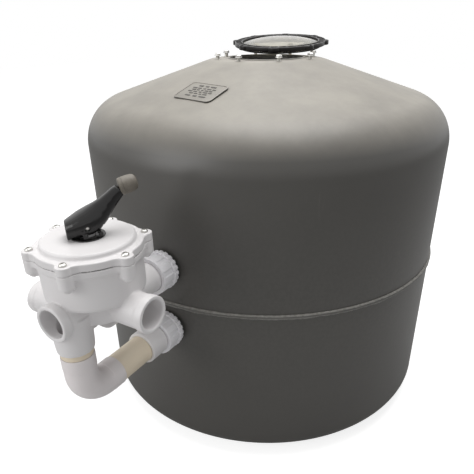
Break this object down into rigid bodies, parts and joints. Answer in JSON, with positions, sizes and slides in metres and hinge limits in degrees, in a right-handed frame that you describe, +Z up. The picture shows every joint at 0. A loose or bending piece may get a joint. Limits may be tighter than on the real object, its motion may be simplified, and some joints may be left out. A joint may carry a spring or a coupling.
{
  "type": "pool sand filter tank",
  "caption": "Domed moulded sand filter tank with a bolted top manhole, loose clear lid and a side-mounted multiport valve on two pipe unions.",
  "frame": {"origin": "centre of the tank's flat underside, on the floor", "axes": "+Z up along the tank's axis, valve on the -Y side, its side port towards +X"},
  "size_m": [0.7696, 1.0251, 0.7764],
  "materials": {
    "tank_plastic": "satin moulded grey, lightly scuffed",
    "plate_plastic": "satin moulded grey",
    "bolt_steel": "bright stainless",
    "lid_lens": "smoky clear plastic",
    "black_plastic": "gloss black moulded",
    "rubber": "matte black",
    "valve_plastic": "satin white",
    "pipe_plastic": "beige extruded",
    "elbow_plastic": "greyish white moulded",
    "knob_plastic": "brown grey moulded",
    "inner_plastic": "plain moulded"
  },
  "bodies": {
    "root": {"tank_upper_shell": "tank_plastic", "tank_lower_shell": "tank_plastic", "seam_band": "tank_plastic", "name_plate": "plate_plastic", "manhole_bolt_1": "bolt_steel", "manhole_bolt_2": "bolt_steel", "manhole_bolt_3": "bolt_steel", "manhole_bolt_4": "bolt_steel", "manhole_bolt_5": "bolt_steel", "manhole_bolt_6": "bolt_steel", "manhole_bolt_7": "bolt_steel", "manhole_bolt_8": "bolt_steel", "cover_screw_1": "bolt_steel", "cover_screw_2": "bolt_steel", "cover_screw_3": "bolt_steel", "cover_screw_4": "bolt_steel", "cover_screw_5": "bolt_steel", "cover_screw_6": "bolt_steel", "cover_gasket": "rubber", "spider_gasket": "rubber", "drain_gasket": "rubber", "upper_union_o_ring": "rubber", "lower_union_o_ring": "rubber", "upper_wall_gasket": "rubber", "lower_wall_gasket": "rubber", "valve_body": "valve_plastic", "valve_cover": "valve_plastic", "lower_tailpiece": "valve_plastic", "upper_bulkhead": "valve_plastic", "lower_bulkhead": "valve_plastic", "pipe_stub": "pipe_plastic", "lower_pipe": "pipe_plastic", "elbow": "elbow_plastic", "inlet_riser": "inner_plastic", "inlet_diffuser": "inner_plastic", "underdrain_pipe": "inner_plastic", "lateral_hub": "inner_plastic", "lateral_1": "inner_plastic", "lateral_2": "inner_plastic", "lateral_3": "inner_plastic", "lateral_4": "inner_plastic", "lateral_5": "inner_plastic", "lateral_6": "inner_plastic", "lateral_7": "inner_plastic", "lateral_8": "inner_plastic", "upper_locknut": "inner_plastic", "lower_locknut": "inner_plastic"},
    "lid": {"lid_dome": "lid_lens", "lid_clamp_ring": "black_plastic", "lid_gasket": "rubber"},
    "carriage": {"thrust_washer": "black_plastic", "rotor_spring": "bolt_steel"},
    "rotor": {"rotor": "valve_plastic", "lever_pin": "bolt_steel"},
    "lever": {"lever": "black_plastic", "lever_cap": "knob_plastic"},
    "upper_nut": {"upper_union_nut": "valve_plastic"},
    "lower_nut": {"lower_union_nut": "valve_plastic"},
    "drain": {"drain_plug": "tank_plastic"}
  },
  "joints": [
    {"name": "selector_turn", "type": "hinge", "parent": "root", "child": "carriage", "pos_m": [0, -0.5393, 0.54], "axis": [0, 0, 1], "continuous": true},
    {"name": "rotor_lift", "type": "slide", "parent": "carriage", "child": "rotor", "axis": [0, 0, 1], "range_m": [0, 0.0087], "deforming": ["rotor_spring"]},
    {"name": "lever_press", "type": "hinge", "parent": "rotor", "child": "lever", "pos_m": [0, -0.5393, 0.556], "axis": [-0.7934, 0.6088, 0], "range_deg": [0, 30], "stiffness_Nm_per_rad": 3, "springref_deg": -17.19},
    {"name": "lid_lift", "type": "slide", "parent": "root", "child": "lid", "axis": [0, 0, 1], "range_m": [0, 0.3]},
    {"name": "upper_nut_turn", "type": "hinge", "parent": "root", "child": "upper_nut", "pos_m": [0, -0.408, 0.417], "axis": [0, -1, 0], "continuous": true},
    {"name": "lower_nut_turn", "type": "hinge", "parent": "root", "child": "lower_nut", "pos_m": [0, -0.408, 0.292], "axis": [0, -1, 0], "continuous": true},
    {"name": "drain_turn", "type": "hinge", "parent": "root", "child": "drain", "pos_m": [0, 0.39, 0.082], "axis": [0, 1, 0], "continuous": true}
  ],
  "couplings": [
    {"joint": "rotor_lift", "follows": "lever_press", "m_per_rad": 0.0165}
  ]
}
